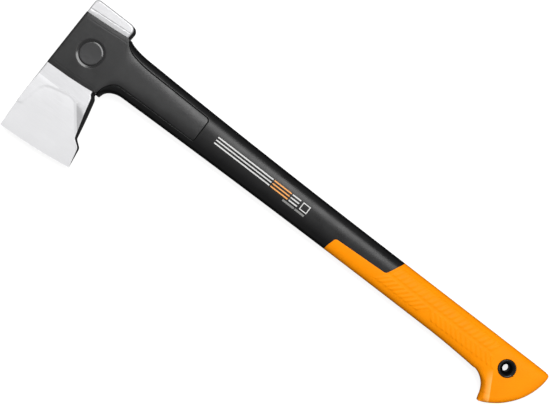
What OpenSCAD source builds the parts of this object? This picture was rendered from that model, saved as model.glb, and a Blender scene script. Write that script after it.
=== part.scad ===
// Splitting axe: a forged steel head in a moulded jacket, a hollow handle
// forked around the neck, and a soft grip with a hooked butt. Millimetres.
//
// The axe lies on its right cheek. +X runs from the head to the butt, +Y from
// the edge to the poll, and +Z is up through its thickness. Every piece is
// drawn in the plane of the axe, with X = 0 at the toe of the edge, Y = 0 close
// to the hand's line and Z = 0 on the mid-plane. place() then sets it down with
// the origin at the bottom centre of the whole axe.

/* [Overall] */
// Length from the toe of the edge to the end of the butt
overall_length = 635; // [620:1:660]
// Height from the toe of the edge to the top of the poll
overall_height = 172; // [170:0.5:176]

/* [Steel head] */
// Thickness of the head at its shoulders
head_thickness = 28; // [26:0.5:29.5]
// Thickness of the poll, the flat back that takes hammer blows
poll_thickness = 24; // [20:0.5:26]
// Thickness of the web between the two jackets
web_thickness = 8; // [8:0.5:14]
// Angle of each cheek to the mid-plane at the cutting edge
edge_half_angle = 20; // [19:0.5:22]
// Radius of the convex cheeks, seen along the edge
cheek_radius = 240; // [230:5:260]
// Radius of the edge's curve in the plane of the axe
edge_radius = 620; // [560:10:700]

/* [Jacket and caps] */
// Thickness across the two jackets, which is also the axe's full thickness
jacket_thickness = 30; // [30:0.5:32]
// Diameter of the round recess in each cheek
recess_diameter = 31.4; // [30:0.2:34]
// Diameter of the cap that stands in the recess
cap_diameter = 25.6; // [22:0.2:27]
// Depth of the recess
recess_depth = 2.8; // [2:0.1:4]
// Diameter of the pin through the web
pin_diameter = 15; // [12:0.5:18]

/* [Handle] */
// Thickness of the handle where it leaves the head
neck_thickness = 29.6; // [28:0.2:30]
// Thickness of the handle along the shaft
shaft_thickness = 27; // [25:0.5:28]
// Thickness of the hooked butt at the eyelet
butt_thickness = 22; // [20:0.5:24]
// Wall of the hollow shaft
shaft_wall = 4; // [4:0.5:5]
// Thickness of the soft grip
grip_wall = 2; // [1.5:0.25:2.5]

/* [Lanyard eyelet] */
// Diameter of the eyelet's clear bore
eyelet_bore = 8.3; // [7:0.1:10]
// Outside diameter of the eyelet's bush
bush_diameter = 19.8; // [18:0.2:22]
// Length of the straight part of the bore
throat_length = 12; // [8:0.5:14]

/* [Hidden] */

gap = 0.1;            // clearance around pieces that are pushed into a hole
over = 10;            // how far a cutter runs past what it cuts
through = 60;         // length of a cutter that passes right through the axe
tall = 100;           // height of blocks that only limit the plan
toe_y = -115.1;       // the toe of the edge
heel = [87.2, -106.6];
poll_y = toe_y + overall_height;
end_lean = 2.5;       // how far the head's end leans back between toe and poll
half_jacket = jacket_thickness / 2;
half_web = web_thickness / 2;
recess_floor = half_jacket - recess_depth;
recess_centre = [33.7, 5.3];

// The head's end is one straight line, from the toe to the poll.
function end_x(y) = end_lean * (y - toe_y) / (poll_y - toe_y);

// The jacket meets the steel along these two lines, from the end to the neck.
web_end = 5.5;        // the web stops short of the head's end, where the jackets meet
blade_border = [[end_x(-29.8), -29.8], [web_end, -29.7], [30.5, -28.8], [46, -27.6],
                [61.4, -25.8]];
poll_border = [[55, 43.2], [33, 41], [web_end, 39.2], [end_x(39), 39]];

// Head outline: x, y and the radius of each corner
head_outline = [
    [end_x(toe_y - over), toe_y - over, 0],
    [end_x(poll_y), poll_y, 5],
    [55.4, poll_y, 7],
    [54.5, 43, 2],
    [60.3, -29.3, 0.5],
    [63.2, -32.5, 2],
    [74.2, -77.2, 5],
    [82.8, -83.6, 6],
    [90.6, toe_y - over, 0]
];

// The panel that fills the fork of the neck, from its belly side to its back
panel_end = 177.2;
panel_outline = [
    [63.6, -25.6, 0.5],
    [66, -16, 14],
    [73.5, -4, 14],
    [92, -3.3, 30],
    [panel_end, -1.9, 2.5],
    [panel_end, 27.2, 4],
    [84, 28.6, 110],
    [63, 33.6, 22],
    [58, 41.2, 0]
];

// Jacket outline: the panel and both borders with the steel
jacket_outline = [
    for (p = blade_border) [p.x, p.y, 0],
    for (p = panel_outline) p,
    [56.6, 43.4, 0.5],
    for (p = poll_border) [p.x, p.y, 0]
];

// The room between the two prongs of the handle's fork
fork_outline = [
    for (p = panel_outline) p,
    [58, 70, 0],
    [-over, 70, 0],
    [-over, -45, 0],
    [63.6, -45, 0]
];

// Grip outline: the stepped line where the grip begins, then well round the butt
grip_outline = [
    [355.6, -30, 0],
    [358.6, -2, 20],
    [361.4, 8.7, 4],
    [426.6, 11.9, 5],
    [441.5, 42, 0],
    [overall_length + over, 42, 0],
    [overall_length + over, -60, 0],
    [355.6, -60, 0]
];

// The handle is a row of rings. Each ring spans from a point on the back to a
// point on the belly, and is a superellipse in the upright plane through both.
ring_sides = 28;
fork_start = 12;      // angle along the neck's fillets where the rings begin
fillet_back = [38, 9];
fillet_belly = [22, 15];
neck_back_x = 92.5;   // where the fillets end and the long part begins
neck_belly_x = 88;
back_y = 33.3;
hook = [overall_length - 70.1, -34];     // centre of the hook's inner curve
hook_radius = 21.8;   // of the hook's inner curve where it is tightest
hook_tight = [12, 20];      // it is tightest between these angles
hook_to_tip = [2.2, 16, 2]; // and opens by so much, over an angle, with a power
hook_to_belly = [2.5, 70, 1.25];
butt_arc = [overall_length - 72.7, 31.7];
butt_radius = 73.3;
butt_corner = 2.2;    // softness of the corner between back and butt
hook_tip = -4;        // angle of the hook's tip about the hook's centre
hook_cut = [-68.4, 10.9];   // straight end of the hook: the way it faces, and its distance from that centre
tube_end = 556;       // the hollow shaft ends here, inside the grip
plug_start = 532;
tang_end = 232;       // the jackets' tang reaches this far into the shaft
belly_y = -7.55;
back_bend_x = 437;    // from here to the head the back rises by so much, over a length, with a power
back_bend = [4.1, 346, 2.4];
belly_bend_x = 450;
belly_bend = [4.2, 350, 1.9];
hook_bend = [2.7, 62, 1.6]; // the belly's fall to the hook
neck_swell_x = 200;
neck_swell = [(neck_thickness - shaft_thickness) / 2, 140, 1.5];
butt_taper_x = 470;
butt_taper = [(shaft_thickness - butt_thickness) / 2, hook.x - butt_taper_x, 2];
oval = 2.7;           // squareness of the shaft's rings
boxing_x = 180;
boxing = [3.3, 120, 2];     // how much squarer they are at the head
tip_thinning = 0.28;  // share of the butt's thickness that is gone at the hook's tip
eyelet = [overall_length - 43.2, 10.5];

// A smooth rise at a distance d past its start: bend is its height, length and power
function swell(d, bend) = bend[0] * pow(max(0, d) / bend[1], bend[2]);

// Height of the back and of the belly along the handle's long part
function back_at(x) = back_y + swell(back_bend_x - x, back_bend);
function belly_at(x) = belly_y - swell(belly_bend_x - x, belly_bend)
    - swell(x - hook.x + hook_bend[1], hook_bend);

// Half thickness along the handle: neck, shaft, then a taper to the butt
function half_at(x) = shaft_thickness / 2 + swell(neck_swell_x - x, neck_swell)
    - swell(x - butt_taper_x, butt_taper);

// Squareness of the ring: boxy at the head, oval along the shaft
function power_at(x) = oval + swell(boxing_x - x, boxing);

// A ring as [back point, belly point, half thickness, power]
function neck_ring(a) = let(
        b = [neck_back_x - fillet_back.x * cos(a),
             back_at(neck_back_x) + fillet_back.y * (1 - sin(a))],
        q = [neck_belly_x - fillet_belly.x * cos(a),
             belly_at(neck_belly_x) - fillet_belly.y * (1 - sin(a))])
    [b, q, half_at(b.x), power_at(b.x)];
function shaft_ring(f) = let(
        xb = neck_back_x + f * (hook.x - neck_back_x),
        xq = neck_belly_x + f * (hook.x - neck_belly_x))
    [[xb, back_at(xb)], [xq, belly_at(xq)], half_at(xb), power_at(xb)];
function hook_reach(a) = hook_radius + swell(a - hook_tight[1], hook_to_belly)
    + swell(hook_tight[0] - a, hook_to_tip);
function to_back(a) = (back_y - hook.y) / max(sin(a), 0.01);
function to_arc(a) = let(
        d = hook - butt_arc,
        b = d.x * cos(a) + d.y * sin(a))
    -b + sqrt(b * b - d * d + butt_radius * butt_radius);
function to_cut(a) = hook_cut[1] / max(cos(a - hook_cut[0]), 0.01);
function soft_min(p, q, k) = (p + q - sqrt(pow(p - q, 2) + 4 * k * k)) / 2;
function butt_ring(a) = let(
        dir = [cos(a), sin(a)],
        far = min(soft_min(to_back(a), to_arc(a), butt_corner), to_cut(a)),
        f = (90 - a) / 90)
    [hook + far * dir, hook + hook_reach(a) * dir,
     butt_thickness / 2 * (1 - tip_thinning * pow(f, 1.5)), oval + 0.5 * min(f, 1)];

neck_rings = [for (a = [fork_start, 22, 34, 48, 66, 90]) neck_ring(a)];
shaft_rings = [for (x = [120, 150, panel_end - 1, 205, tang_end, 290, 350, 400, 440, 480,
                         510, plug_start, tube_end])
    shaft_ring((x - neck_back_x) / (hook.x - neck_back_x))];
butt_rings = [for (a = [90, 76, 62, 52, 47, 44, 41, 38, 33, 24, 14, 5, hook_tip]) butt_ring(a)];
all_rings = concat(neck_rings, shaft_rings, butt_rings);

first_shaft = len(neck_rings);
tang_from = first_shaft + 2;
tang_to = first_shaft + 4;
grip_from = first_shaft + 5;
plug_from = first_shaft + 11;
tube_to = first_shaft + 12;
last_ring = len(all_rings) - 1;
inset_last = last_ring - 2;   // inside the grip the hook ends a little earlier

// The same ring, drawn in by a wall thickness on every side
function inset(r, wall) = let(v = (r[1] - r[0]) / norm(r[1] - r[0]))
    [r[0] + v * wall, r[1] - v * wall, r[2] - wall, r[3]];
function signed_pow(v, p) = sign(v) * pow(abs(v), p);
function ring_points(r) = [for (i = [0:ring_sides - 1]) let(
        a = 360 * i / ring_sides,
        u = signed_pow(cos(a), 2 / r[3]),
        w = signed_pow(sin(a), 2 / r[3]),
        m = (r[0] + r[1]) / 2,
        h = (r[0] - r[1]) / 2)
    [m.x + h.x * u, m.y + h.y * u, r[2] * w]];
function rings(from, to, wall) = [for (k = [from:to]) inset(all_rings[k], wall)];
function flat(list) = [for (part = list) for (item = part) item];

// Faces of the side of a stack of rings, seen from outside or from inside
function side_faces(count, first, outward) = [
    for (k = [0:count - 2]) for (i = [0:ring_sides - 1]) let(
        a = first + k * ring_sides + i,
        b = first + k * ring_sides + (i + 1) % ring_sides,
        c = b + ring_sides,
        d = a + ring_sides)
    each outward ? [[a, d, c], [a, c, b]] : [[a, c, d], [a, b, c]]];
function start_cap(first) = [for (i = [0:ring_sides - 1]) first + i];
function end_cap(count, first) = [for (i = [ring_sides - 1:-1:0]) first + (count - 1) * ring_sides + i];
function reversed(list) = [for (i = [len(list) - 1:-1:0]) list[i]];

// Rounds each corner [x, y, radius] of a closed outline
corner_steps = 6;
function rounded(path) = flat([for (i = [0:len(path) - 1]) let(
        n = len(path),
        p = [path[i].x, path[i].y],
        a = [path[(i + n - 1) % n].x, path[(i + n - 1) % n].y],
        b = [path[(i + 1) % n].x, path[(i + 1) % n].y],
        u = (a - p) / norm(a - p),
        v = (b - p) / norm(b - p),
        half = acos(max(-1, min(1, u * v))) / 2,
        r = path[i].z,
        centre = p + (u + v) / norm(u + v) * r / sin(half),
        from = p + u * r / tan(half) - centre,
        turn = 180 - 2 * half,
        way = u.x * v.y - u.y * v.x > 0 ? -1 : 1)
    r == 0 ? [p] : [for (s = [0:corner_steps]) let(t = way * turn * s / corner_steps)
        centre + [from.x * cos(t) - from.y * sin(t), from.x * sin(t) + from.y * cos(t)]]]);

module place() {
    translate([-overall_length / 2, -(toe_y + poll_y) / 2, half_jacket]) children();
}

// A solid skinned over a list of rings
module skin(list) {
    polyhedron(points = flat([for (r = list) ring_points(r)]),
               faces = concat(side_faces(len(list), 0, true),
                              [start_cap(0), end_cap(len(list), 0)]));
}

module stack(from, to, wall) {
    skin(rings(from, to, wall));
}

// A stack of rings with a hollow inside, open at its front and closed at its end
module sleeve(from, to, to_inside, wall_outside, wall_inside) {
    outer = rings(from, to, wall_outside);
    inner = rings(from, to_inside, wall_inside);
    first = len(outer) * ring_sides;
    rim = [for (i = [0:ring_sides - 1]) let(j = (i + 1) % ring_sides)
        each [[i, j, first + j], [i, first + j, first + i]]];
    polyhedron(points = flat([for (r = concat(outer, inner)) ring_points(r)]),
               faces = concat(side_faces(len(outer), 0, true),
                              side_faces(len(inner), first, false), rim,
                              [end_cap(len(outer), 0),
                               reversed(end_cap(len(inner), first))]));
}

// An outline as an upright block around the mid-plane
module block(outline, height) {
    linear_extrude(height = height, center = true) polygon(rounded(outline));
}

// The space above the mid-plane
module upper_half() {
    translate([-over, -2 * tall, 0]) cube([overall_length + 2 * over, 4 * tall, tall]);
}

// Everything between the two convex cheeks, swept about the edge's own centre
module cheeks() {
    toe = [0, toe_y];
    chord = heel - toe;
    sag = edge_radius - sqrt(pow(edge_radius, 2) - pow(norm(chord) / 2, 2));
    normal = [-chord.y, chord.x] / norm(chord);
    centre = toe + chord / 2 + normal * (edge_radius - sag);
    rise = cheek_radius * cos(edge_half_angle);
    run = cheek_radius * sin(edge_half_angle);
    shoulder = min(head_thickness / 2, cheek_radius - rise);
    translate([centre.x, centre.y, 0])
        rotate([0, 0, -105])
            rotate_extrude(angle = 30, $fn = 360)
                intersection() {
                    union() {
                        intersection() {
                            translate([edge_radius - run, -rise])
                                circle(r = cheek_radius, $fn = 360);
                            translate([edge_radius - run, rise])
                                circle(r = cheek_radius, $fn = 360);
                        }
                        translate([edge_radius - 190, -shoulder]) square([190 - run, 2 * shoulder]);
                    }
                    translate([edge_radius - 190, -shoulder]) square([200, 2 * shoulder]);
                }
}

// Cuts the blade's two long corners at the head's end to a round
module end_rounding() {
    corner = 3;
    level = head_thickness / 2 - 0.92 * corner;
    arc = [for (a = [0:12.5:75]) [corner * (1 - cos(a)), level + corner * sin(a)]];
    for (side = [0, 1]) mirror([0, 0, side])
        translate([0, blade_border[0].y, 0]) rotate([90, 0, 0])
            linear_extrude(height = blade_border[0].y - toe_y + over)
                polygon([[-over, level], each arc, [arc[6].x, 2 * head_thickness],
                         [-over, 2 * head_thickness]]);
}

module axe_head() {
    color([0.88, 0.88, 0.89]) place() difference() {
        intersection() {
            block(head_outline, head_thickness + 2);
            cheeks();
        }
        // room for the jackets on both sides of the web, and over its end
        for (side = [-1, 1])
            translate([0, 0, side * (half_web + 25)]) linear_extrude(height = 50, center = true)
                polygon([for (p = blade_border) p, [75, -25], [75, 43.2],
                         for (p = poll_border) p, [-over, 39], [-over, -29.8]]);
        linear_extrude(height = 50, center = true)
            polygon([blade_border[0], blade_border[1], poll_border[2], poll_border[3],
                     [-over, 39], [-over, -29.8]]);
        end_rounding();
        // the poll is thinner than the shoulders
        for (side = [-1, 1])
            translate([0, 0, side * (poll_thickness / 2 + 25)]) linear_extrude(height = 50, center = true)
                polygon([for (p = poll_border) p, [-over, 39], [-over, 80], [75, 80], [75, 43.2]]);
        translate([recess_centre.x, recess_centre.y, 0])
            cylinder(d = pin_diameter, h = through, center = true, $fn = 96);
    }
}

// The upper half of the jacket: cheek, neck panel and tang, with the web's room
module jacket() {
    difference() {
        intersection() {
            union() {
                intersection() {
                    block(jacket_outline, tall);
                    union() {
                        stack(0, tang_from, 0);
                        translate([-over, -50, -half_jacket]) cube([over + 66, 120, jacket_thickness]);
                    }
                }
                stack(first_shaft, tang_to, shaft_wall + gap);
            }
            upper_half();
        }
        translate([0, 0, -over]) linear_extrude(height = over + half_web)
            polygon([[web_end, -40], [web_end, 60], [54.5, 43], [60.3, -29.3], [60.3, -40]]);
        translate([recess_centre.x, recess_centre.y, recess_floor])
            cylinder(d = recess_diameter, h = over, $fn = 128);
        translate([recess_centre.x, recess_centre.y, -1])
            cylinder(d = pin_diameter, h = through, $fn = 96);
    }
}

module jacket_left() {
    color([0.23, 0.23, 0.24]) place() jacket();
}

module jacket_right() {
    color([0.23, 0.23, 0.24]) place() mirror([0, 0, 1]) jacket();
}

module plug_cap(side) {
    color([0.20, 0.20, 0.21]) place()
        translate([recess_centre.x, recess_centre.y, side * (recess_floor + recess_depth / 2 - gap)])
            cylinder(d = cap_diameter, h = recess_depth - 2 * gap, center = true, $fn = 128);
}

module plug_cap_left() { plug_cap(1); }

module plug_cap_right() { plug_cap(-1); }

module cross_pin() {
    color([0.55, 0.56, 0.58]) place()
        translate([recess_centre.x, recess_centre.y, 0])
            cylinder(d = pin_diameter - 2 * gap, h = 2 * recess_floor - 2 * gap, center = true, $fn = 96);
}

module shaft_shell() {
    color([0.15, 0.15, 0.16]) place() difference() {
        stack(0, tube_to, 0);
        // the hollow, from the end of the neck panel
        stack(first_shaft + 2, tube_to + 1, shaft_wall);
        // the fork that holds the jackets
        block(fork_outline, tall);
        // the step that the grip fills
        intersection() {
            block(grip_outline, tall);
            sleeve(grip_from, tube_to + 1, tube_to, -over, grip_wall);
        }
    }
}

module butt_plug() {
    color([0.13, 0.13, 0.14]) place() difference() {
        skin(concat(rings(plug_from, tube_to, shaft_wall + gap),
                    rings(tube_to, inset_last, grip_wall)));
        translate([eyelet.x, eyelet.y, 0])
            cylinder(d = bush_diameter, h = through, center = true, $fn = 96);
    }
}

module grip_sleeve() {
    color([1.0, 0.56, 0.05]) place() difference() {
        intersection() {
            sleeve(grip_from, last_ring, inset_last, 0, grip_wall);
            block(grip_outline, tall);
        }
        translate([eyelet.x, eyelet.y, 0])
            cylinder(d = bush_diameter, h = through, center = true, $fn = 96);
    }
}

module lanyard_bush() {
    outer = bush_diameter / 2 - gap / 2;
    bore = eyelet_bore / 2;
    half = butt_thickness / 2 + 0.2;
    lip = 0.9;
    color([0.06, 0.06, 0.07]) place()
        translate([eyelet.x, eyelet.y, 0])
            rotate_extrude($fn = 96)
                polygon([[bore, -throat_length / 2], [outer - lip, -half], [outer, -half + lip],
                         [outer, half - lip], [outer - lip, half], [bore, throat_length / 2]]);
}

axe_head();
jacket_left();
jacket_right();
plug_cap_left();
plug_cap_right();
cross_pin();
shaft_shell();
butt_plug();
grip_sleeve();
lanyard_bush();
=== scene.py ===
"""Splitting axe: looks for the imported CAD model.

Shapes are worked out in the axe's own plane, in millimetres: x runs from the toe
of the edge to the butt, y from the edge to the poll, z up from the mid-plane.
Each visible piece starts as a sheet of polygons in two parameters, is split
along the lines where its shape or its material changes, and is then raised into
a closed solid.
"""
import math
from functools import partial

import bpy
import numpy as np
from mathutils import Matrix, Vector


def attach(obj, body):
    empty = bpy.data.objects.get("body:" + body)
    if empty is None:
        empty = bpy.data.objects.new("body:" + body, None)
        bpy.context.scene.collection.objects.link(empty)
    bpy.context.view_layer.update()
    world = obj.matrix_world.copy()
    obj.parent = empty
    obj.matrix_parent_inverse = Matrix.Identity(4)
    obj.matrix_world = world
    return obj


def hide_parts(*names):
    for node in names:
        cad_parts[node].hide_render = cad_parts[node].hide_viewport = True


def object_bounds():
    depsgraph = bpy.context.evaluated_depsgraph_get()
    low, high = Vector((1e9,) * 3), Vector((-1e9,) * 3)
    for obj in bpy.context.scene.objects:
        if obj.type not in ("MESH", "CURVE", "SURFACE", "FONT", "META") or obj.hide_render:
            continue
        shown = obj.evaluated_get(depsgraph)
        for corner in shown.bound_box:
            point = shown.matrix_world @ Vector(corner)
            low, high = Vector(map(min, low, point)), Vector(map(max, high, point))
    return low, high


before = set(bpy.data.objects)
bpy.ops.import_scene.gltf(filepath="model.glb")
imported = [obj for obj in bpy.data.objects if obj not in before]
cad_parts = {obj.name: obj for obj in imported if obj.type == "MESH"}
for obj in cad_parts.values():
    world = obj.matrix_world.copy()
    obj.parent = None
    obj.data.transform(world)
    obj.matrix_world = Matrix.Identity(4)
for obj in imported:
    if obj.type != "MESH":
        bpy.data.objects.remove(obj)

CAD_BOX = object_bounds()
MM = 0.001

# ---------------- dimensions
# The same driving dimensions as the CAD model, in millimetres and degrees.
LENGTH = (CAD_BOX[1][0] - CAD_BOX[0][0]) / MM
HEIGHT = (CAD_BOX[1][1] - CAD_BOX[0][1]) / MM
HALF_JACKET = (CAD_BOX[1][2] - CAD_BOX[0][2]) / MM / 2
TOE = np.array([0.0, -115.1])
HEEL = np.array([87.2, -106.6])
POLL_Y = TOE[1] + HEIGHT
END_LEAN = 2.5

SHOULDER = 14.0            # half thickness of the head at its shoulders
POLL_HALF = 12.0
WEB_HALF = 4.0
WEB_END = 5.5
EDGE_ANGLE = 20.0
CHEEK_RADIUS = 240.0
EDGE_RADIUS = 620.0

RECESS = np.array([33.7, 5.3])
RECESS_RADIUS = 15.7
RECESS_FLOOR = HALF_JACKET - 2.8
PIN_RADIUS = 7.5

NECK_HALF = 14.8
SHAFT_HALF = 13.5
BUTT_HALF = 11.0
SHAFT_WALL = 4.0
GRIP_WALL = 2.0
BACK_Y = 33.3
NECK_BACK = (92.5, 38.0, 9.0)      # where the back's fillet ends, its length, its height
NECK_BELLY = (88.0, 22.0, 15.0)
PANEL_END = 177.2
FORK_FROM = 58.0
HOOK = np.array([LENGTH - 70.1, -34.0])
HOOK_RADIUS = 21.8         # its inner curve where it is tightest
HOOK_TIGHT = (70.0, 78.0)  # between these turns, in degrees; it opens towards belly and tip
HOOK_TO_BELLY = (2.5, 70.0, 1.25)
HOOK_TO_TIP = (2.2, 16.0, 2.0)
BUTT_ARC = np.array([LENGTH - 72.7, 31.7])
BUTT_RADIUS = 73.3
BUTT_CORNER = 2.2
FAN_END = 94.0             # degrees that the rings turn about the hook's centre
HOOK_CUT = (68.4, 10.9)    # its straight end: degrees down that it faces, distance off that centre
EYELET = np.array([LENGTH - 43.2, 10.5])
BUSH_RADIUS = 9.9
BORE_RADIUS = 4.15
THROAT = 12.0

# Bends of the handle as (height, length, power), each from a station of its own
BELLY_Y = -7.55
BACK_BEND_X, BACK_BEND = 437.0, (4.1, 346.0, 2.4)
BELLY_BEND_X, BELLY_BEND = 450.0, (4.2, 350.0, 1.9)
HOOK_BEND = (2.7, 62.0, 1.6)
NECK_SWELL_X, NECK_SWELL = 200.0, (NECK_HALF - SHAFT_HALF, 140.0, 1.5)
BUTT_TAPER_X = 470.0
BUTT_TAPER = (SHAFT_HALF - BUTT_HALF, HOOK[0] - BUTT_TAPER_X, 2.0)
OVAL = 2.7                 # squareness of the shaft's rings
BOXING_X, BOXING = 180.0, (3.3, 120.0, 2.0)            # how much squarer they are at the head
SIDE_POWER = 3.0           # the most that a ring's upper and lower sides are squared
BUTT_DEPTH = 41.0          # a ring of the butt this deep is as square as the shaft
BUTT_POWERS = (2.3, 6.5)
TIP_THINNING = 0.28        # share of the thickness that goes on the way to the hook's tip
TIP_FEATHER = (0.35, 72.0, 22.0)       # a further share, the turn it begins at, its degrees

SEAM = 0.35                # half the gap between two pieces that meet at a seam


def end_x(y):
    """The head's end, a straight line that leans back from toe to poll."""
    return END_LEAN * (y - TOE[1]) / (POLL_Y - TOE[1])


BLADE_BORDER = [(end_x(-29.8), -29.8), (WEB_END, -29.7), (30.5, -28.8), (46.0, -27.6), (61.4, -25.8)]
POLL_BORDER = [(55.0, 43.2), (33.0, 41.0), (WEB_END, 39.2), (end_x(39.0), 39.0)]
HEAD_OUTLINE = [
    (end_x(-125.0), -125.0, 0), (end_x(POLL_Y), POLL_Y, 5), (55.4, POLL_Y, 7), (54.5, 43.0, 2),
    (60.3, -29.3, 0.5), (63.2, -32.5, 2), (74.2, -77.2, 5), (82.8, -83.6, 6), (90.6, -125.0, 0),
]
PANEL_OUTLINE = [
    (63.6, -25.6, 0.5), (66.0, -16.0, 14), (73.5, -4.0, 14), (92.0, -3.3, 30), (PANEL_END, -1.9, 2.5),
    (PANEL_END, 27.2, 4), (84.0, 28.6, 110), (63.0, 33.6, 22), (FORK_FROM, 41.2, 0),
]
JACKET_OUTLINE = (
    [(x, y, 0) for x, y in BLADE_BORDER] + PANEL_OUTLINE + [(56.6, 43.4, 0.5)]
    + [(x, y, 0) for x, y in POLL_BORDER]
)
FORK_OUTLINE = PANEL_OUTLINE + [
    (FORK_FROM, 70.0, 0), (-10.0, 70.0, 0), (-10.0, -45.0, 0), (63.6, -45.0, 0),
]
GRIP_OUTLINE = [
    (355.6, -30.0, 0), (358.6, -2.0, 20), (361.4, 8.7, 4), (426.6, 11.9, 5), (441.5, 42.0, 0),
    (LENGTH + 10, 42.0, 0), (LENGTH + 10, -60.0, 0), (355.6, -60.0, 0),
]


# ---------------- plane geometry
def smooth(t):
    """0 below 0, 1 above 1 and an even curve between."""
    t = np.clip(t, 0, 1)
    return t * t * (3 - 2 * t)


def rounded(path, steps=8):
    """A closed outline of (x, y, radius) corners as points, with its corners rounded."""
    out = []
    count = len(path)
    for i, (x, y, r) in enumerate(path):
        p = np.array([x, y])
        if r == 0:
            out.append(p)
            continue
        u = np.array(path[i - 1][:2]) - p
        v = np.array(path[(i + 1) % count][:2]) - p
        u /= np.linalg.norm(u)
        v /= np.linalg.norm(v)
        half = math.acos(max(-1.0, min(1.0, float(u @ v)))) / 2
        centre = p + (u + v) / np.linalg.norm(u + v) * r / math.sin(half)
        start = p + u * r / math.tan(half) - centre
        turn = (math.pi - 2 * half) * (-1 if u[0] * v[1] - u[1] * v[0] > 0 else 1)
        for s in range(steps + 1):
            c, n = math.cos(turn * s / steps), math.sin(turn * s / steps)
            out.append(centre + [start[0] * c - start[1] * n, start[0] * n + start[1] * c])
    return np.array(out)


def distance(points, x, y):
    """Signed distance to a closed outline, more than 0 inside it."""
    a = points
    b = np.roll(points, -1, axis=0)
    best = np.full(x.shape, np.inf)
    inside = np.zeros(x.shape, bool)
    for (ax, ay), (bx, by) in zip(a, b):
        ex, ey = bx - ax, by - ay
        size = ex * ex + ey * ey
        if size == 0:
            continue
        t = np.clip(((x - ax) * ex + (y - ay) * ey) / size, 0, 1)
        best = np.minimum(best, (x - ax - t * ex) ** 2 + (y - ay - t * ey) ** 2)
        if ay != by:
            crosses = ((ay > y) != (by > y)) & (x < ex * (y - ay) / ey + ax)
            inside ^= crosses
    return np.where(inside, 1, -1) * np.sqrt(best)


def beside(a, b, x, y):
    """Distance to the left of the line from a to b."""
    (ax, ay), (bx, by) = a, b
    return ((y - ay) * (bx - ax) - (x - ax) * (by - ay)) / math.hypot(bx - ax, by - ay)


def above(line, x, y):
    """Height over an open line of points that runs along x."""
    xs = [p[0] for p in line]
    ys = [p[1] for p in line]
    if xs[0] > xs[-1]:
        xs, ys = xs[::-1], ys[::-1]
    return y - np.interp(x, xs, ys)


# Distances in from the outlines, and heights over the steel's borders with the jackets
in_head = partial(distance, rounded(HEAD_OUTLINE))
in_jacket = partial(distance, rounded(JACKET_OUTLINE))
in_fork = partial(distance, rounded(FORK_OUTLINE))
in_grip = partial(distance, rounded(GRIP_OUTLINE))
over_blade = partial(above, BLADE_BORDER)
over_poll = partial(above, POLL_BORDER)


# ---------------- sheets
def grid(n, rows):
    """Faces between rows of n points."""
    return [(j * n + i, j * n + i + 1, (j + 1) * n + i + 1, (j + 1) * n + i)
            for j in range(rows - 1) for i in range(n - 1)]


def centres(points, faces):
    return np.array([points[list(f)].mean(axis=0) for f in faces])


class Sheet:
    """Polygons over two parameters, (u, v), that can be split along level lines."""

    NEAR = 0.03            # a corner this close to a level line counts as on it

    def __init__(self, us, vs):
        self.points = np.array([(u, v) for v in vs for u in us], float)
        self.faces = grid(len(us), len(vs))

    def split(self, level, value=0.0):
        """Splits every face along the line where level(u, v) equals value."""
        h = level(self.points[:, 0], self.points[:, 1]) - value
        h = np.where(np.abs(h) < self.NEAR, 0.0, h)
        points = list(map(tuple, self.points))
        side = list(np.sign(h))
        cuts = {}
        faces = []
        for face in self.faces:
            sides = [side[i] for i in face]
            if min(sides) >= 0 or max(sides) <= 0:
                faces.append(face)
                continue
            ring = []
            for a, b in zip(face, face[1:] + face[:1]):
                ring.append(a)
                if side[a] * side[b] < 0:
                    key = (min(a, b), max(a, b))
                    if key not in cuts:
                        lo, hi = key
                        t = h[lo] / (h[lo] - h[hi])
                        p, q = points[lo], points[hi]
                        cuts[key] = len(points)
                        points.append((p[0] + t * (q[0] - p[0]), p[1] + t * (q[1] - p[1])))
                        side.append(0.0)
                    ring.append(cuts[key])
            for way in (1, -1):
                part = tuple(i for i in ring if side[i] * way >= 0)
                if len(part) > 2:
                    faces.append(part)
        self.points = np.array(points)
        self.faces = faces

    def keep(self, level):
        """Splits along the line where level is zero and drops what lies below it."""
        self.split(level)
        middles = self.middles()
        good = level(middles[:, 0], middles[:, 1]) > 0
        self.faces = [f for f, g in zip(self.faces, good) if g]

    def middles(self):
        return centres(self.points, self.faces)

    def labels(self, *levels):
        """A number for each face: bit k is set where level k is more than zero."""
        m = self.middles()
        return sum((lv(m[:, 0], m[:, 1]) > 0).astype(int) << k for k, lv in enumerate(levels))


def rounding(d, r):
    """How far a surface drops at distance d from an edge that is rounded to radius r."""
    e = np.clip(r - d, 0, r)
    return r - np.sqrt(np.maximum(r * r - e * e, 0))


def round_levels(r):
    """Distances from the edge at which a rounded edge needs a row of points."""
    return [r, 0.6 * r, 0.3 * r, 0.1 * r]


def merged(points):
    """Which points stay when equal ones merge, and the new number of each old one."""
    _, first, number = np.unique(np.round(points, 4), axis=0, return_index=True, return_inverse=True)
    return first, number.ravel()


def welded(points, faces, tags):
    """Merges equal points and drops faces that collapse."""
    first, number = merged(points)
    out, kept = [], []
    for face, tag in zip(faces, tags):
        ring = [int(number[i]) for i in face]
        ring = [a for a, b in zip(ring, ring[1:] + ring[:1]) if a != b]
        if len(ring) > 2 and len(set(ring)) == len(ring):
            out.append(tuple(ring))
            kept.append(tag)
    return points[first], out, kept


def open_edges(faces):
    """Directed edges that only one face uses."""
    seen = {}
    for face in faces:
        for a, b in zip(face, face[1:] + face[:1]):
            key = (min(a, b), max(a, b))
            seen[key] = None if key in seen else (a, b)
    return [e for e in seen.values() if e]


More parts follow.
